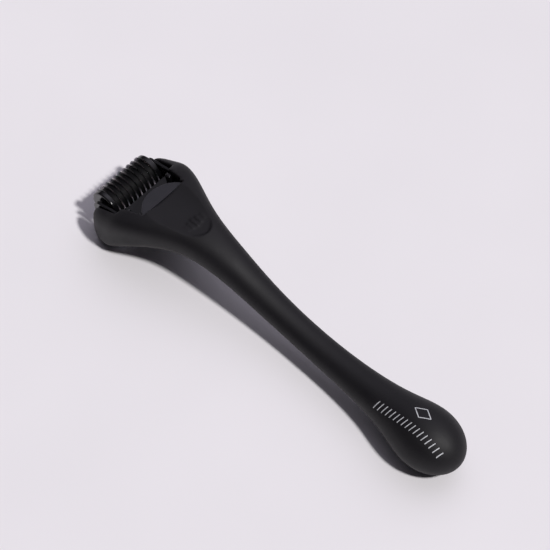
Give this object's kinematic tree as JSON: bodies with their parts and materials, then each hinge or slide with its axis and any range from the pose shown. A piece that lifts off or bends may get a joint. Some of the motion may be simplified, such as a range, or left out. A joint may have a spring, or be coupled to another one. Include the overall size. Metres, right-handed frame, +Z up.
{
  "type": "derma roller",
  "caption": "Hand-held derma roller: curved black handle with a round bulb end and a fork that holds a snap-in cartridge with a free-turning drum of fine steel needle discs.",
  "frame": {"origin": "bottom centre of the box that encloses the roller as it lies on a table, needle head and bulb both down", "axes": "+X from the needle head to the bulb end of the handle, +Y along the needle drum's axle, +Z up from the table"},
  "size_m": [0.142, 0.032, 0.0238],
  "materials": {
    "soft_touch_black": "soft-touch matte black coating",
    "gloss_black": "polished black ABS",
    "dark_grey_plastic": "satin dark grey",
    "matte_black_plastic": "moulded matte black",
    "dark_needle_steel": "black-coated steel",
    "steel_pin": "ground steel"
  },
  "bodies": {
    "handle": {"handle_upper_shell": "soft_touch_black", "handle_lower_shell": "soft_touch_black"},
    "cartridge": {"cartridge_frame": "gloss_black", "guard_plate": "dark_grey_plastic", "axle_pin": "steel_pin"},
    "drum": {"drum_core": "matte_black_plastic", "drum_end_cap_left": "gloss_black", "drum_end_cap_right": "gloss_black", "needle_disc_01": "dark_needle_steel", "needle_disc_02": "dark_needle_steel", "needle_disc_03": "dark_needle_steel", "needle_disc_04": "dark_needle_steel", "needle_disc_05": "dark_needle_steel", "needle_disc_06": "dark_needle_steel", "needle_disc_07": "dark_needle_steel", "needle_disc_08": "dark_needle_steel", "needle_disc_09": "dark_needle_steel", "needle_disc_10": "dark_needle_steel", "spacer_ring_01": "matte_black_plastic", "spacer_ring_02": "matte_black_plastic", "spacer_ring_03": "matte_black_plastic", "spacer_ring_04": "matte_black_plastic", "spacer_ring_05": "matte_black_plastic", "spacer_ring_06": "matte_black_plastic", "spacer_ring_07": "matte_black_plastic", "spacer_ring_08": "matte_black_plastic", "spacer_ring_09": "matte_black_plastic"}
  },
  "joints": [
    {"name": "cartridge_pull", "type": "slide", "parent": "handle", "child": "cartridge", "axis": [-0.9703, 0, -0.2419], "range_m": [0, 0.012]},
    {"name": "drum_spin", "type": "hinge", "parent": "cartridge", "child": "drum", "pos_m": [-0.0654, 0, 0.0115], "axis": [0, 1, 0], "continuous": true}
  ]
}
